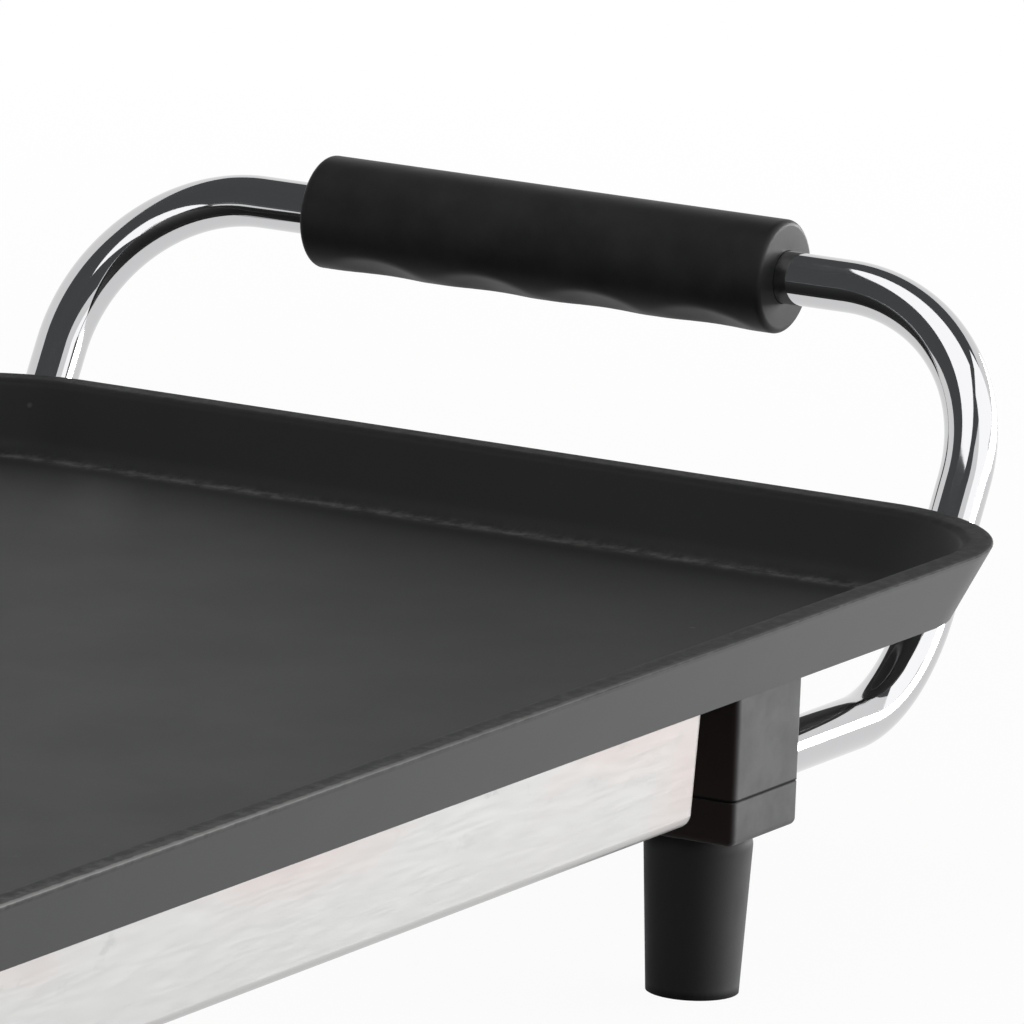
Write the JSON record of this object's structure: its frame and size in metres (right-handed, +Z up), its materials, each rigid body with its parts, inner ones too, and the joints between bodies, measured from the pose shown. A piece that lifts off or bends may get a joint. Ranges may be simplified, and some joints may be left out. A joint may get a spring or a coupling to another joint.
{
  "type": "electric griddle",
  "caption": "Long electric table griddle: flared cast plate on moulded legs, bent chrome tube handles with finger grips, sheet heat shield and a plug-in temperature control.",
  "frame": {"origin": "middle of the whole griddle's footprint, at the height of the table it stands on", "axes": "+X along the plate's length, +Z up, +Y towards the rear side with the temperature control"},
  "size_m": [0.9812, 0.3283, 0.1186],
  "materials": {
    "nonstick_plate": "cast aluminium with a black non-stick coating",
    "element_sheath": "dark annealed element sheath",
    "strap_steel": "plated strip",
    "zinc_screw": "zinc plated",
    "tray_sheet": "bright rolled sheet with faint smudges",
    "leg_plastic": "moulded heat-proof plastic, fine satin",
    "handle_chrome": "polished chrome tube",
    "grip_plastic": "moulded satin plastic with finger grooves",
    "pin_metal": "nickel plated pins",
    "bead_ceramic": "off-white ceramic",
    "shroud_steel": "plated sheet steel",
    "control_plastic": "moulded black plastic, fine spark texture",
    "block_plastic": "dark moulded thermoset",
    "contact_brass": "bare brass",
    "probe_steel": "polished stainless tube",
    "switch_plastic": "pale moulded thermoset",
    "lens_amber": "translucent amber plastic",
    "gland_rubber": "matte black rubber",
    "dial_plastic": "satin black plastic with pale marks",
    "shaft_steel": "turned steel"
  },
  "bodies": {
    "griddle": {"griddle_plate": "nonstick_plate", "heating_element": "element_sheath", "element_straps": "strap_steel", "strap_screws": "zinc_screw", "heat_shield_tray": "tray_sheet", "tray_screws": "zinc_screw", "front_left_leg_block": "leg_plastic", "rear_left_leg_block": "leg_plastic", "front_right_leg_block": "leg_plastic", "rear_right_leg_block": "leg_plastic", "front_left_foot": "leg_plastic", "rear_left_foot": "leg_plastic", "front_right_foot": "leg_plastic", "rear_right_foot": "leg_plastic", "leg_screws": "zinc_screw", "left_handle_tube": "handle_chrome", "right_handle_tube": "handle_chrome", "left_handle_grip": "grip_plastic", "right_handle_grip": "grip_plastic", "terminal_pins": "pin_metal", "terminal_beads": "bead_ceramic", "inlet_shroud": "shroud_steel", "inlet_screws": "zinc_screw"},
    "control": {"control_top_shell": "control_plastic", "control_bottom_shell": "control_plastic", "control_screws": "zinc_screw", "contact_block": "block_plastic", "contact_sleeves": "contact_brass", "earth_springs": "contact_brass", "temperature_probe": "probe_steel", "thermostat_switch": "switch_plastic", "pilot_lens": "lens_amber", "cord_gland": "gland_rubber"},
    "dial": {"temperature_dial": "dial_plastic", "dial_shaft": "shaft_steel"}
  },
  "joints": [
    {"name": "control_slide", "type": "slide", "parent": "griddle", "child": "control", "axis": [0, 1, 0], "range_m": [0, 0.08]},
    {"name": "dial_turn", "type": "hinge", "parent": "control", "child": "dial", "pos_m": [0, 0.12125, 0.0634], "axis": [0, 0, -1], "range_deg": [0, 270]}
  ]
}
